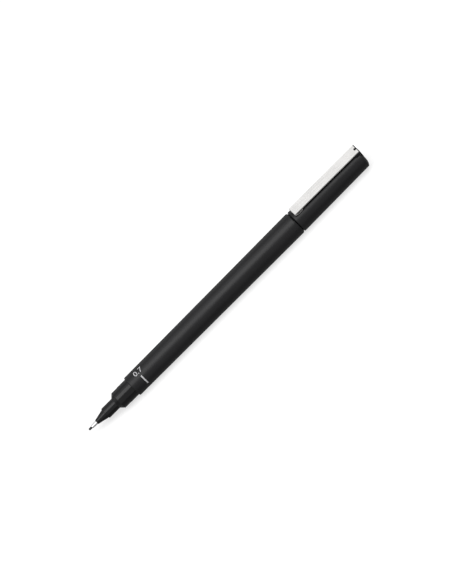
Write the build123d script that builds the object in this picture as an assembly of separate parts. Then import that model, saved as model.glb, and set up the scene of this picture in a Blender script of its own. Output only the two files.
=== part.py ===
from build123d import *
import math
import os

# Technical drawing pen with a 0.7 mm fibre point, its cap posted on the tail.
#
# The pen lies along X: nib at -X, closed end of the cap at +X, pocket clip on
# top (+Z). Round pieces are turned about the X axis with the nib's point at
# x = 0. place() then puts the origin at the bottom centre of the whole pen, so
# that the barrel lies on z = 0. Sizes are in millimetres.

# ---- Visible lengths, from the nib to the tail ----
nib_exposed = 1.5
sleeve_exposed = 2.55
cone_length = 4.65
neck_length = 5.5
grip_length = 7.3
barrel_length = 87.6
cap_length = 35.55
mouth_seam = 0.05

# ---- Outside radii ----
nib_radius = 0.46
sleeve_front_radius = 0.66
sleeve_rear_radius = 0.78
cone_front_radius = 0.95
grip_rear_radius = 3.87
barrel_front_radius = 4.47
barrel_rear_radius = 4.89
cap_mouth_radius = 4.80
cap_end_radius = 4.53

# ---- Steps between neighbouring radii ----
cone_step = 0.38
shoulder_height = 1.44
grip_step = 0.07

# ---- Edge rounding ----
nib_rounding = 0.30
sleeve_rounding = 0.12
cone_rounding = 0.18
barrel_front_rounding = 0.35
barrel_rear_rounding = 0.95
cap_mouth_rounding = 0.45

# ---- Snap bead on the grip ----
bead_height = 0.03
bead_width = 0.5
bead_from_barrel = 3.5

# ---- Pressed fits and running fits, all radial ----
press_clearance = 0.02
cap_clearance = 0.05
liner_clearance = 0.05

# ---- Inside the pen ----
stub_wall = 0.67
plug_length = 8.0
section_wall = 0.9
section_solid_length = 2.2
neck_wall = 0.59
stem_wall = 0.53
holder_stem_length = 6.0
sleeve_inserted = 5.0
nib_past_stem = 0.3
nib_clearance = 0.02
wick_nib_depth = 2.8
wick_in_reservoir = 5.0
reservoir_gap = 0.26
film_thickness = 0.12
tail_plug_length = 11.0
tail_plug_wall = 0.8
tail_flange_thickness = 0.8
tail_flange_setback = 0.27
vent_radius = 0.4
stub_rounding = 0.2

# ---- Inside the cap ----
liner_gap = 0.4
stub_end_gap = 0.45
inner_step = 0.32
liner_lip_length = 2.0
liner_lip_clearance = 0.06
liner_wall = 0.90
liner_tip_gap = 1.5
liner_end_wall = 1.0
crown_rise = 1.0
crown_flat_radius = 2.0
crown_spigot_length = 6.0
crown_wall = 1.0

# ---- Pocket clip: one bent strip of sheet steel ----
clip_width = 4.03
clip_thickness = 0.45
clip_gap = 1.25
clip_from_mouth = 1.3
fold_radius = 0.25
bow_clearance = 0.10
bow_front_angle = 44.0
bow_rear_angle = 38.0
stake_hole_radius = 0.56

# ---- Seat of the clip on the crown, with a lip behind it and a stake through it ----
pad_length = 2.6
pad_side_margin = 0.10
pad_clearance = 0.03
lip_thickness = 0.30
lip_clearance = 0.06
stake_radius = 0.48
stake_from_end = 0.80
stake_below_face = 0.06

# ---- Radii worked out from the grip inwards ----
grip_front_radius = grip_rear_radius - grip_step
bead_radius = grip_rear_radius + bead_height
neck_radius = grip_front_radius - shoulder_height
cone_rear_radius = neck_radius - cone_step
holder_stem_radius = neck_radius - neck_wall - press_clearance
wick_radius = holder_stem_radius - stem_wall - press_clearance
stub_radius = grip_rear_radius
barrel_bore = stub_radius - stub_wall
tail_flange_radius = stub_radius - tail_flange_setback
shell_bore = stub_radius + cap_clearance
inner_bore = shell_bore - inner_step
liner_lip_radius = neck_radius + liner_lip_clearance
liner_chamber_radius = inner_bore - liner_clearance - liner_wall
wick_bore = wick_radius + press_clearance
nib_bore = nib_radius + nib_clearance

# ---- Stations along the axis, worked out from the lengths ----
sleeve_front = nib_exposed
cone_front = sleeve_front + sleeve_exposed
neck_front = cone_front + cone_length
shoulder_front = neck_front + neck_length
grip_front = shoulder_front + shoulder_height
barrel_front = grip_front + grip_length
barrel_rear = barrel_front + barrel_length
cap_mouth = barrel_rear + mouth_seam
cap_end = cap_mouth + cap_length
shell_end = cap_end - crown_rise
cap_taper = (cap_mouth_radius - cap_end_radius) / (shell_end - cap_mouth)

stem_rear = neck_front + holder_stem_length
nib_rear = stem_rear + nib_past_stem
wick_front = nib_rear - wick_nib_depth
plug_rear = barrel_front + plug_length
reservoir_front = plug_rear + reservoir_gap
wick_rear = reservoir_front + wick_in_reservoir

liner_front = cap_mouth + barrel_front - shoulder_front + liner_gap
stub_rear = liner_front - stub_end_gap - tail_flange_thickness
tail_plug_front = stub_rear - tail_plug_length
liner_inside_rear = cap_mouth + barrel_front + liner_tip_gap
liner_rear = liner_inside_rear + liner_end_wall
crown_spigot_front = shell_end - crown_spigot_length


def lathe(outline, rounds=()):
    """Turn (x, radius) points about the X axis, with the chosen corners rounded."""
    section = make_face(Polyline(*outline, close=True))
    for corner, radius in rounds:
        vertex = section.vertices().sort_by_distance(corner)[0]
        section = fillet(vertex, radius)
    return revolve(Plane.XZ * section, Axis.X)


def tube(front, rear, outer, inner):
    """Straight tube, or a rod where the inner radius is zero."""
    return lathe([(front, inner), (front, outer), (rear, outer), (rear, inner)])


def cap_radius_at(x):
    """Outside radius of the tapered cap shell at station x."""
    return cap_mouth_radius - cap_taper * (x - cap_mouth)


# ---------------------------------------------------------------- point group
def make_nib():
    outline = [(0, 0), (0, nib_radius), (nib_rear, nib_radius), (nib_rear, 0)]
    return lathe(outline, [((0, nib_radius), nib_rounding)])


def make_tip_sleeve():
    rear = cone_front + sleeve_inserted
    outline = [
        (sleeve_front, nib_bore),
        (sleeve_front, sleeve_front_radius),
        (cone_front, sleeve_rear_radius),
        (rear, sleeve_rear_radius),
        (rear, nib_bore),
    ]
    return lathe(outline, [((sleeve_front, sleeve_front_radius), sleeve_rounding)])


def make_nib_holder():
    sleeve_seat = sleeve_rear_radius + press_clearance
    seat_rear = cone_front + sleeve_inserted
    outline = [
        (cone_front, sleeve_seat),
        (cone_front, cone_front_radius),
        (neck_front, cone_rear_radius),
        (neck_front, holder_stem_radius),
        (stem_rear, holder_stem_radius),
        (stem_rear, wick_bore),
        (wick_front, wick_bore),
        (wick_front, nib_bore),
        (seat_rear, nib_bore),
        (seat_rear, sleeve_seat),
    ]
    return lathe(outline, [((cone_front, cone_front_radius), cone_rounding)])


def make_front_section():
    stem_seat = holder_stem_radius + press_clearance
    chamber_front = stem_rear + section_solid_length
    chamber_radius = barrel_bore - press_clearance - section_wall
    plug_radius = barrel_bore - press_clearance
    bead_rear = barrel_front - bead_from_barrel
    bead_front = bead_rear - bead_width
    outline = [
        (neck_front, stem_seat),
        (neck_front, neck_radius),
        (shoulder_front, neck_radius),
        (grip_front, grip_front_radius),
        (bead_front - bead_width, grip_front_radius),
        (bead_front, bead_radius),
        (bead_rear, bead_radius),
        (bead_rear, grip_rear_radius),
        (barrel_front, grip_rear_radius),
        (barrel_front, plug_radius),
        (plug_rear, plug_radius),
        (plug_rear, chamber_radius),
        (chamber_front, chamber_radius),
        (chamber_front, wick_bore),
        (stem_rear, wick_bore),
        (stem_rear, stem_seat),
    ]
    rounds = [
        ((neck_front, neck_radius), cone_rounding),
        ((grip_front, grip_front_radius), cone_rounding),
    ]
    return lathe(outline, rounds)


# ---------------------------------------------------------------- ink and barrel
def make_feed_wick():
    outline = [
        (wick_front, nib_bore),
        (wick_front, wick_radius),
        (wick_rear, wick_radius),
        (wick_rear, 0),
        (nib_rear, 0),
        (nib_rear, nib_bore),
    ]
    return lathe(outline)


def make_ink_reservoir():
    outer = barrel_bore - 3 * press_clearance - film_thickness
    outline = [
        (reservoir_front, wick_bore),
        (reservoir_front, outer),
        (tail_plug_front, outer),
        (tail_plug_front, 0),
        (wick_rear, 0),
        (wick_rear, wick_bore),
    ]
    return lathe(outline)


def make_reservoir_film():
    inner = barrel_bore - 2 * press_clearance - film_thickness
    return tube(reservoir_front, tail_plug_front, inner + film_thickness, inner)


def make_barrel():
    outline = [
        (barrel_front, barrel_bore),
        (barrel_front, barrel_front_radius),
        (barrel_rear, barrel_rear_radius),
        (barrel_rear, stub_radius),
        (stub_rear, stub_radius),
        (stub_rear, barrel_bore),
    ]
    rounds = [
        ((barrel_front, barrel_front_radius), barrel_front_rounding),
        ((barrel_rear, barrel_rear_radius), barrel_rear_rounding),
        ((stub_rear, stub_radius), stub_rounding),
    ]
    return lathe(outline, rounds)


def make_tail_plug():
    skirt = barrel_bore - press_clearance
    flange_rear = stub_rear + tail_flange_thickness
    outline = [
        (tail_plug_front, skirt - tail_plug_wall),
        (tail_plug_front, skirt),
        (stub_rear, skirt),
        (stub_rear, tail_flange_radius),
        (flange_rear, tail_flange_radius),
        (flange_rear, vent_radius),
        (stub_rear - tail_plug_wall, vent_radius),
        (stub_rear - tail_plug_wall, skirt - tail_plug_wall),
    ]
    return lathe(outline, [((flange_rear, tail_flange_radius), stub_rounding)])


# ---------------------------------------------------------------- cap
def strip_rear_station():
    """Rear end of the strip, just in front of the crown's lip."""
    return cap_end - lip_thickness - lip_clearance


def clip_height_at(x):
    """Height above the axis of the middle of the strip at station x."""
    return cap_radius_at(x) + clip_gap + clip_thickness / 2


def make_cap_shell():
    outline = [
        (cap_mouth, shell_bore),
        (cap_mouth, cap_mouth_radius),
        (shell_end, cap_end_radius),
        (shell_end, inner_bore),
        (liner_front - liner_clearance, inner_bore),
        (liner_front - liner_clearance, shell_bore),
    ]
    return lathe(outline, [((cap_mouth, cap_mouth_radius), cap_mouth_rounding)])


def make_cap_liner():
    outer = inner_bore - liner_clearance
    lip_rear = liner_front + liner_lip_length
    outline = [
        (liner_front, liner_lip_radius),
        (liner_front, outer),
        (liner_rear, outer),
        (liner_rear, 0),
        (liner_inside_rear, 0),
        (liner_inside_rear, liner_chamber_radius),
        (lip_rear, liner_chamber_radius),
        (lip_rear, liner_lip_radius),
    ]
    return lathe(outline)


def make_cap_crown():
    spigot = inner_bore - press_clearance
    outside = Polyline(
        (shell_end, cap_end_radius),
        (shell_end, spigot),
        (crown_spigot_front, spigot),
        (crown_spigot_front, spigot - crown_wall),
        (shell_end, spigot - crown_wall),
        (shell_end, 0),
        (cap_end, 0),
        (cap_end, crown_flat_radius),
    )
    dome = TangentArc((cap_end, crown_flat_radius), (shell_end, cap_end_radius), tangent=(0, 1))
    return revolve(Plane.XZ * make_face(outside + dome), Axis.X) + make_clip_seat()


def block(front, rear, width, bottom, top):
    """Box between two stations and two heights, centred on the pen's middle plane."""
    corner = (Align.MIN, Align.CENTER, Align.MIN)
    return Pos(front, 0, bottom) * Box(rear - front, width, top - bottom, align=corner)


def make_clip_seat():
    pad_front = cap_end - pad_length
    strip_rear = strip_rear_station()
    strip_under = clip_height_at(strip_rear) - clip_thickness / 2
    strip_top = strip_under + clip_thickness
    width = clip_width + 2 * pad_side_margin
    root = crown_flat_radius
    pad = block(pad_front, cap_end, width, root, strip_under - pad_clearance)
    lip = block(cap_end - lip_thickness, cap_end, width, root, strip_top)
    foot = (Align.CENTER, Align.CENTER, Align.MIN)
    stake = Pos(cap_end - stake_from_end, 0, root) * Cylinder(
        stake_radius, strip_top - stake_below_face - root, align=foot
    )
    shell_space = lathe([
        (pad_front - pad_clearance, 0),
        (pad_front - pad_clearance, cap_radius_at(pad_front) + pad_clearance),
        (shell_end, cap_end_radius + pad_clearance),
        (shell_end, 0),
    ])
    return pad + lip + stake - shell_space


def bow_radius():
    """Radius that brings the bow's lowest face down to the cap."""
    rise = math.cos(math.radians(bow_front_angle))
    return (clip_gap - bow_clearance - fold_radius * (1 + rise)) / (1 - rise)


def make_clip():
    rear = strip_rear_station()
    front = cap_mouth + clip_from_mouth + fold_radius + clip_thickness / 2
    strip_front = Vector(front, clip_height_at(front))
    strip_rear = Vector(rear, clip_height_at(rear))
    along = (strip_rear - strip_front).normalized()
    fold = JernArc(strip_front, -along, fold_radius, 180 - bow_front_angle)
    bow = JernArc(fold @ 1, fold % 1, bow_radius(), bow_front_angle + bow_rear_angle)
    strip = Line(strip_front, strip_rear)
    profile = Sketch() + [trace(path, clip_thickness) for path in (bow, fold, strip)]
    clip = extrude(Plane.XZ * profile, clip_width / 2, both=True)
    foot = (Align.CENTER, Align.CENTER, Align.MIN)
    hole = Pos(cap_end - stake_from_end, 0, cap_end_radius) * Cylinder(
        stake_hole_radius, cap_length, align=foot
    )
    return clip - hole


# ---------------------------------------------------------------- whole pen
nodes = {
    "barrel": make_barrel(),
    "tail_plug": make_tail_plug(),
    "front_section": make_front_section(),
    "nib_holder": make_nib_holder(),
    "tip_sleeve": make_tip_sleeve(),
    "nib": make_nib(),
    "feed_wick": make_feed_wick(),
    "ink_reservoir": make_ink_reservoir(),
    "reservoir_film": make_reservoir_film(),
    "cap_shell": make_cap_shell(),
    "cap_liner": make_cap_liner(),
    "cap_crown": make_cap_crown(),
    "clip": make_clip(),
}

axis_height = nodes["barrel"].bounding_box().max.Z
place = Pos(-cap_end / 2, 0, axis_height)

os.makedirs("parts", exist_ok=True)
for name, piece in nodes.items():
    export_step(place * piece, f"parts/{name}.step")

print(f"overall length {cap_end:.2f}, axis height {axis_height:.3f}")
hinge_x = strip_rear_station()
hinge_z = clip_height_at(hinge_x) - clip_thickness / 2
print(f"clip hinge at x {hinge_x - cap_end / 2:.3f}, z {axis_height + hinge_z:.3f}")
print(f"stub length {stub_rear + tail_flange_thickness - barrel_rear:.3f}")
print(f"grip collar from {barrel_front - bead_from_barrel - cap_end / 2:.3f}"
      f" to {barrel_front - cap_end / 2:.3f}")
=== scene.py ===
import math

import bmesh
import bpy
from mathutils import Matrix, Quaternion, Vector
from mathutils.bvhtree import BVHTree


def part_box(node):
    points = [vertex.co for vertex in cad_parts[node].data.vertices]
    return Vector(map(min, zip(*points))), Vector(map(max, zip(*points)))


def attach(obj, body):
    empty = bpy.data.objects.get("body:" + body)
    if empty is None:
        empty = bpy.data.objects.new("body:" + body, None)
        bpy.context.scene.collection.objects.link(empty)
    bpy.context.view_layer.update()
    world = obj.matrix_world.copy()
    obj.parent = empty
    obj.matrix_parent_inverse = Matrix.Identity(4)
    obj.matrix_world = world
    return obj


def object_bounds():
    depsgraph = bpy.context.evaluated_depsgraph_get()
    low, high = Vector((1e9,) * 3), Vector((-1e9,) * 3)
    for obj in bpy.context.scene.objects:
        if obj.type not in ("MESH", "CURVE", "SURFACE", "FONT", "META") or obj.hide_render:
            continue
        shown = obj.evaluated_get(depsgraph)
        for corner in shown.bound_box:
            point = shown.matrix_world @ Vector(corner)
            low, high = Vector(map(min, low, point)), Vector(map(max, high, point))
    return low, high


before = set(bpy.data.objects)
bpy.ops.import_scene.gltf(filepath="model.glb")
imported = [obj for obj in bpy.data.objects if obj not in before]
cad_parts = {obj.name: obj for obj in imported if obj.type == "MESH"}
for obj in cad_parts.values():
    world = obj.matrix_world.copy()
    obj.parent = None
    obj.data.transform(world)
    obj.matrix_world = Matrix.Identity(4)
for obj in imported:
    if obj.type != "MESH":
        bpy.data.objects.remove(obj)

# A black technical pen, lying along X with its posted cap at +X and the clip on top.
# Lengths are in metres and places come from the pen's own pieces.

MM = 0.001
cad_size = [list(corner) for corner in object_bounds()]

barrel_low, barrel_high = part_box("barrel")
axis_height = (barrel_low.z + barrel_high.z) / 2
pen_low = Vector(cad_size[0])
pen_high = Vector(cad_size[1])
pen_middle = Vector(((pen_low.x + pen_high.x) / 2, 0, axis_height))

# ---- View ----
CAMERA_ELEVATION = math.radians(53.0)
CAMERA_ROLL = math.radians(45.11)
CAMERA_DISTANCE = 1.2
AIM_ALONG_PEN = 0.19 * MM
AIM_ACROSS_PEN = 0.13 * MM
FIELD_HEIGHT = 0.2202
SENSOR = 36.0

# ---- Light: one wide softbox overhead, in a bright near panel and a weak far panel ----
SOFTBOX_HEIGHT = 0.60
SOFTBOX_LENGTH = 1.10
SOFTBOX_PANELS = {
    "softbox_near": {"y": -0.117, "width": 0.40, "radiance": 3.6},
    "softbox_far": {"y": 0.205, "width": 0.25, "radiance": 1.0},
}
WORLD_FILL = 0.15
FLOOR_ALBEDO = 0.38
FLOOR_GLOW = 0.70
FLOOR_SIZE = 3.0

# ---- Print on the barrel ----
PRINT_FROM_FRONT = 3.66 * MM
PRINT_LENGTH = 3.92 * MM
PRINT_TOP_ANGLE = math.radians(-11.9)
PRINT_BOTTOM_ANGLE = math.radians(15.4)
TICK_FROM_FRONT = 5.24 * MM
TICK_WIDTH = 0.56 * MM
TICK_TOP_ANGLE = math.radians(29.3)
TICK_BOTTOM_ANGLE = math.radians(83.0)
INK_THICKNESS = 0.012 * MM
INK_SINK = 0.004 * MM
NUMBER_CUTS = 14
TICK_CUTS = 24
LETTER_CURVE_STEPS = 8
LETTER_HALF_DEPTH = 0.5
WELD_DISTANCE = 1e-7
OUTSIDE_BARREL = 20.0 * MM

# ---- Materials: the middle range of a noise, where most of its values lie ----
NOISE_LOW = 0.3
NOISE_HIGH = 0.7


# ---------------------------------------------------------------- materials
class Finish:
    """A material with one Principled shader, and short calls that add its detail."""

    def __init__(self, name, color, roughness, metallic=0.0, specular=0.5):
        self.material = bpy.data.materials.new(name)
        self.material.use_nodes = True
        self.tree = self.material.node_tree
        self.shader = self.tree.nodes["Principled BSDF"]
        self.shader.inputs["Base Color"].default_value = (*color, 1.0)
        self.shader.inputs["Roughness"].default_value = roughness
        self.shader.inputs["Metallic"].default_value = metallic
        self.shader.inputs["Specular IOR Level"].default_value = specular
        self.place = self.tree.nodes.new("ShaderNodeTexCoord").outputs["Object"]
        self.relief = None

    def stretched(self, scale):
        """Object coordinates scaled along each axis."""
        mapping = self.tree.nodes.new("ShaderNodeMapping")
        mapping.inputs["Scale"].default_value = scale
        self.tree.links.new(self.place, mapping.inputs["Vector"])
        return mapping.outputs["Vector"]

    def noise(self, scale, detail=3.0, stretch=(1, 1, 1)):
        """Noise with features about 1/scale metres across."""
        node = self.tree.nodes.new("ShaderNodeTexNoise")
        node.inputs["Scale"].default_value = scale
        node.inputs["Detail"].default_value = detail
        self.tree.links.new(self.stretched(stretch), node.inputs["Vector"])
        return node.outputs["Fac"]

    def spread(self, value, low, high):
        """The value's middle range mapped to low..high."""
        node = self.tree.nodes.new("ShaderNodeMapRange")
        node.inputs["From Min"].default_value = NOISE_LOW
        node.inputs["From Max"].default_value = NOISE_HIGH
        node.inputs["To Min"].default_value = low
        node.inputs["To Max"].default_value = high
        self.tree.links.new(value, node.inputs["Value"])
        return node.outputs["Result"]

    def color_between(self, value, first, second):
        """Mottles the colour between two close shades."""
        node = self.tree.nodes.new("ShaderNodeMix")
        node.data_type = "RGBA"
        node.inputs["A"].default_value = (*first, 1.0)
        node.inputs["B"].default_value = (*second, 1.0)
        self.tree.links.new(self.spread(value, 0.0, 1.0), node.inputs["Factor"])
        self.tree.links.new(node.outputs["Result"], self.shader.inputs["Base Color"])
        return self

    def roughness_between(self, value, low, high):
        """Varies the roughness over the surface."""
        self.tree.links.new(self.spread(value, low, high), self.shader.inputs["Roughness"])
        return self

    def bump(self, value, depth, strength=1.0):
        """Adds relief of the given depth in metres on top of any earlier relief."""
        node = self.tree.nodes.new("ShaderNodeBump")
        node.inputs["Distance"].default_value = depth
        node.inputs["Strength"].default_value = strength
        self.tree.links.new(value, node.inputs["Height"])
        if self.relief is not None:
            self.tree.links.new(self.relief, node.inputs["Normal"])
        self.relief = node.outputs["Normal"]
        self.tree.links.new(self.relief, self.shader.inputs["Normal"])
        return self


def matte_black():
    """Satin black polypropylene with a fine spark-eroded texture and faint handling marks."""
    finish = Finish("matte_black", (0.005, 0.005, 0.0055), 0.38, specular=0.21)
    grain = finish.noise(9000.0, 2.0)
    smudge = finish.noise(160.0, 4.0, stretch=(0.4, 1, 1))
    finish.color_between(smudge, (0.004, 0.004, 0.0045), (0.007, 0.007, 0.0078))
    finish.roughness_between(smudge, 0.34, 0.42)
    finish.bump(grain, 0.006 * MM)
    return finish.material


def gloss_black():
    """Polished black moulding with faint flow marks along the pen."""
    finish = Finish("gloss_black", (0.004, 0.004, 0.0045), 0.10, specular=0.20)
    flow = finish.noise(420.0, 3.0, stretch=(0.25, 1, 1))
    finish.color_between(flow, (0.003, 0.003, 0.0035), (0.005, 0.005, 0.0055))
    finish.roughness_between(flow, 0.09, 0.17)
    finish.bump(flow, 0.004 * MM)
    return finish.material


def satin_steel():
    """Plated spring steel, brushed along the clip."""
    finish = Finish("satin_steel", (0.80, 0.79, 0.77), 0.30, metallic=1.0)
    brush = finish.noise(5200.0, 3.0, stretch=(0.02, 1, 1))
    patch = finish.noise(190.0, 3.0)
    finish.color_between(patch, (0.60, 0.595, 0.585), (0.68, 0.67, 0.66))
    finish.roughness_between(brush, 0.24, 0.38)
    finish.bump(brush, 0.003 * MM)
    return finish.material


def bright_steel():
    """Drawn bright stainless tube with fine turning marks round it."""
    finish = Finish("bright_steel", (0.50, 0.50, 0.50), 0.20, metallic=1.0)
    turned = finish.noise(7000.0, 2.0, stretch=(1, 0.05, 0.05))
    finish.color_between(turned, (0.42, 0.42, 0.43), (0.56, 0.56, 0.56))
    finish.roughness_between(turned, 0.12, 0.24)
    finish.bump(turned, 0.002 * MM)
    return finish.material


def fibre(name, dark, light, roughness, scale):
    """Bundled fibres that run along the pen."""
    finish = Finish(name, dark, roughness, specular=0.3)
    strands = finish.noise(scale, 4.0, stretch=(0.04, 1, 1))
    finish.color_between(strands, dark, light)
    finish.roughness_between(strands, roughness - 0.08, roughness + 0.08)
    finish.bump(strands, 0.02 * MM)
    return finish.material


def moulded(name, dark, light, roughness, scale=900.0):
    """Plain moulded plastic with slight mottling and grain."""
    finish = Finish(name, light, roughness)
    mottle = finish.noise(scale, 4.0)
    finish.color_between(mottle, dark, light)
    finish.roughness_between(mottle, roughness - 0.06, roughness + 0.06)
    finish.bump(finish.noise(6000.0, 2.0), 0.005 * MM)
    return finish.material


def printed_ink():
    """Pale pad-printed ink with pinholes that let the black through."""
    finish = Finish("printed_ink", (0.52, 0.52, 0.53), 0.50, specular=0.3)
    pinholes = finish.noise(11000.0, 3.0)
    finish.color_between(pinholes, (0.40, 0.40, 0.41), (0.60, 0.60, 0.61))
    finish.roughness_between(pinholes, 0.42, 0.58)
    finish.bump(pinholes, 0.003 * MM)
    return finish.material


def dress_nodes():
    """Each CAD node keeps its shape and gets its own finish."""
    black = matte_black()
    gloss = gloss_black()
    ink_fibre = fibre("ink_fibre", (0.012, 0.012, 0.015), (0.05, 0.05, 0.06), 0.75, 5200.0)
    finishes = {
        "barrel": black,
        "cap_shell": black,
        "cap_crown": black,
        "tail_plug": black,
        "front_section": gloss,
        "nib_holder": gloss,
        "clip": satin_steel(),
        "tip_sleeve": bright_steel(),
        "nib": fibre("nib_fibre", (0.010, 0.010, 0.011), (0.03, 0.03, 0.033), 0.55, 14000.0),
        "feed_wick": ink_fibre,
        "ink_reservoir": ink_fibre,
        "reservoir_film": moulded("wrap_film", (0.60, 0.60, 0.58), (0.74, 0.74, 0.72), 0.20),
        "cap_liner": moulded("liner_plastic", (0.46, 0.46, 0.44), (0.56, 0.56, 0.54), 0.45),
    }
    for name, material in finishes.items():
        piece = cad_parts[name]
        piece.data.materials.clear()
        piece.data.materials.append(material)


# ---------------------------------------------------------------- print
def wrapped_on_barrel(piece, bvh):
    """Wraps a flat mesh onto the barrel: x stays, y is an angle from the top, z the height."""
    for vertex in piece.data.vertices:
        angle, lift = vertex.co.y, vertex.co.z
        out = Vector((0, -math.sin(angle), math.cos(angle)))
        centre = Vector((vertex.co.x, 0, axis_height))
        hit = bvh.ray_cast(centre + out * OUTSIDE_BARREL, -out)[0]
        radius = (hit - centre).length
        vertex.co = centre + out * (radius - INK_SINK + lift)
    piece.data.update()
    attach(piece, "pen_body")
    return piece


def cut_across(mesh, low, high, steps):
    """Adds edges at even steps in y, so that the wrapped face follows the round surface."""
    for step in range(1, steps):
        level = low + (high - low) * step / steps
        parts = mesh.verts[:] + mesh.edges[:] + mesh.faces[:]
        bmesh.ops.bisect_plane(mesh, geom=parts, plane_co=(0, level, 0), plane_no=(0, 1, 0))


def print_number(text, bvh, ink):
    """A size number, read from the nib towards the cap."""
    curve = bpy.data.curves.new("size_number", "FONT")
    curve.body = text
    curve.extrude = LETTER_HALF_DEPTH
    curve.resolution_u = LETTER_CURVE_STEPS
    flat = bpy.data.objects.new("size_number_flat", curve)
    bpy.context.scene.collection.objects.link(flat)
    bpy.context.view_layer.update()
    mesh = bpy.data.meshes.new_from_object(flat.evaluated_get(bpy.context.evaluated_depsgraph_get()))
    bpy.data.objects.remove(flat)
    piece = bpy.data.objects.new("size_number", mesh)
    bpy.context.scene.collection.objects.link(piece)
    xs = [v.co.x for v in mesh.vertices]
    ys = [v.co.y for v in mesh.vertices]
    start = barrel_low.x + PRINT_FROM_FRONT
    for vertex in mesh.vertices:
        along = (vertex.co.x - min(xs)) / (max(xs) - min(xs))
        up = (vertex.co.y - min(ys)) / (max(ys) - min(ys))
        x = start + along * PRINT_LENGTH
        angle = PRINT_BOTTOM_ANGLE + up * (PRINT_TOP_ANGLE - PRINT_BOTTOM_ANGLE)
        vertex.co = Vector((x, angle, (vertex.co.z + LETTER_HALF_DEPTH) * INK_THICKNESS))
    work = bmesh.new()
    work.from_mesh(mesh)
    bmesh.ops.remove_doubles(work, verts=work.verts, dist=WELD_DISTANCE)
    cut_across(work, PRINT_TOP_ANGLE, PRINT_BOTTOM_ANGLE, NUMBER_CUTS)
    bmesh.ops.triangulate(work, faces=work.faces)
    bmesh.ops.reverse_faces(work, faces=work.faces)
    work.to_mesh(mesh)
    work.free()
    mesh.materials.clear()
    mesh.materials.append(ink)
    return wrapped_on_barrel(piece, bvh)


def print_tick(bvh, ink):
    """A plain bar across the barrel beside the number."""
    work = bmesh.new()
    bmesh.ops.create_cube(work, size=1.0)
    start = barrel_low.x + TICK_FROM_FRONT
    span = TICK_BOTTOM_ANGLE - TICK_TOP_ANGLE
    for vertex in work.verts:
        vertex.co = Vector((
            start + (vertex.co.x + 0.5) * TICK_WIDTH,
            TICK_TOP_ANGLE + (vertex.co.y + 0.5) * span,
            (vertex.co.z + 0.5) * INK_THICKNESS,
        ))
    cut_across(work, TICK_TOP_ANGLE, TICK_BOTTOM_ANGLE, TICK_CUTS)
    bmesh.ops.reverse_faces(work, faces=work.faces)
    mesh = bpy.data.meshes.new("size_tick")
    work.to_mesh(mesh)
    work.free()
    mesh.materials.append(ink)
    piece = bpy.data.objects.new("size_tick", mesh)
    bpy.context.scene.collection.objects.link(piece)
    return wrapped_on_barrel(piece, bvh)


# ---------------------------------------------------------------- stage
def seen_directly(tree):
    """1 for rays from the camera, and for reflected and refracted rays."""
    path = tree.nodes.new("ShaderNodeLightPath")
    either = tree.nodes.new("ShaderNodeMath")
    either.operation = "MAXIMUM"
    any_of = tree.nodes.new("ShaderNodeMath")
    any_of.operation = "MAXIMUM"
    tree.links.new(path.outputs["Is Camera Ray"], either.inputs[0])
    tree.links.new(path.outputs["Is Glossy Ray"], either.inputs[1])
    tree.links.new(either.outputs[0], any_of.inputs[0])
    tree.links.new(path.outputs["Is Transmission Ray"], any_of.inputs[1])
    return any_of.outputs[0]


def make_floor():
    """Pale floor that looks white and keeps the pen's shadow."""
    bpy.ops.mesh.primitive_plane_add(size=FLOOR_SIZE)
    floor = bpy.context.object
    floor.name = "floor"
    material = bpy.data.materials.new("floor")
    material.use_nodes = True
    tree = material.node_tree
    shader = tree.nodes["Principled BSDF"]
    shader.inputs["Base Color"].default_value = (FLOOR_ALBEDO, FLOOR_ALBEDO, FLOOR_ALBEDO, 1)
    shader.inputs["Roughness"].default_value = 1.0
    shader.inputs["Specular IOR Level"].default_value = 0.0
    shader.inputs["Emission Color"].default_value = (1, 1, 1, 1)
    path = tree.nodes.new("ShaderNodeLightPath")
    glow = tree.nodes.new("ShaderNodeMath")
    glow.operation = "MULTIPLY"
    glow.inputs[1].default_value = FLOOR_GLOW
    tree.links.new(path.outputs["Is Camera Ray"], glow.inputs[0])
    tree.links.new(glow.outputs[0], shader.inputs["Emission Strength"])
    floor.data.materials.append(material)


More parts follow.
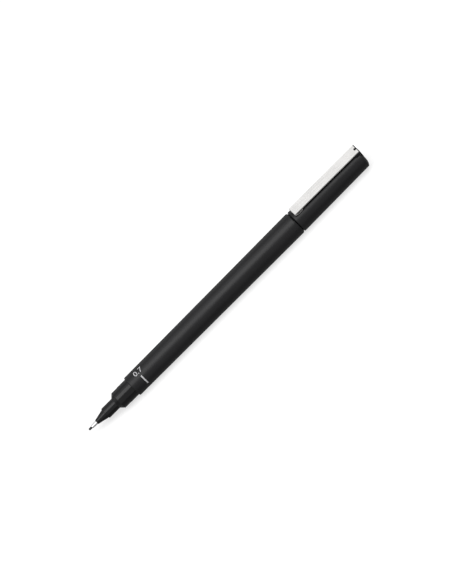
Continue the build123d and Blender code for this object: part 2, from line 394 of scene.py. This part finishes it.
def make_world():
    """White where it is seen, and a soft grey fill as light."""
    world = bpy.data.worlds.new("studio")
    bpy.context.scene.world = world
    world.use_nodes = True
    tree = world.node_tree
    background = tree.nodes["Background"]
    background.inputs["Color"].default_value = (1, 1, 1, 1)
    strength = tree.nodes.new("ShaderNodeMapRange")
    strength.inputs["To Min"].default_value = WORLD_FILL
    strength.inputs["To Max"].default_value = 1.0
    tree.links.new(seen_directly(tree), strength.inputs["Value"])
    tree.links.new(strength.outputs["Result"], background.inputs["Strength"])


def make_softbox():
    """The overhead panels, each as bright as its radiance says."""
    for name, panel in SOFTBOX_PANELS.items():
        light = bpy.data.lights.new(name, "AREA")
        light.shape = "RECTANGLE"
        light.size = SOFTBOX_LENGTH
        light.size_y = panel["width"]
        light.energy = math.pi * SOFTBOX_LENGTH * panel["width"] * panel["radiance"]
        lamp = bpy.data.objects.new(name, light)
        lamp.location = (0, panel["y"], SOFTBOX_HEIGHT)
        bpy.context.scene.collection.objects.link(lamp)


def make_camera():
    """Long lens from the front and above, turned so that the pen runs up to the right."""
    back = Vector((0, -math.cos(CAMERA_ELEVATION), math.sin(CAMERA_ELEVATION)))
    camera = bpy.data.objects.new("camera", bpy.data.cameras.new("camera"))
    camera.data.sensor_width = SENSOR
    camera.data.lens = SENSOR * CAMERA_DISTANCE / FIELD_HEIGHT
    across = Vector((0, math.sin(CAMERA_ELEVATION), math.cos(CAMERA_ELEVATION)))
    aim = pen_middle + Vector((AIM_ALONG_PEN, 0, 0)) + across * AIM_ACROSS_PEN
    camera.location = aim + back * CAMERA_DISTANCE
    level = (-back).to_track_quat("-Z", "Y")
    camera.rotation_mode = "QUATERNION"
    camera.rotation_quaternion = level @ Quaternion((0, 0, 1), -CAMERA_ROLL)
    bpy.context.scene.collection.objects.link(camera)
    bpy.context.scene.camera = camera


dress_nodes()
ink = printed_ink()
barrel_surface = BVHTree.FromObject(
    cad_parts["barrel"], bpy.context.evaluated_depsgraph_get()
)
print_number("0.7", barrel_surface, ink)
print_tick(barrel_surface, ink)
make_floor()
make_world()
make_softbox()
make_camera()
bpy.context.scene.view_settings.view_transform = "Standard"
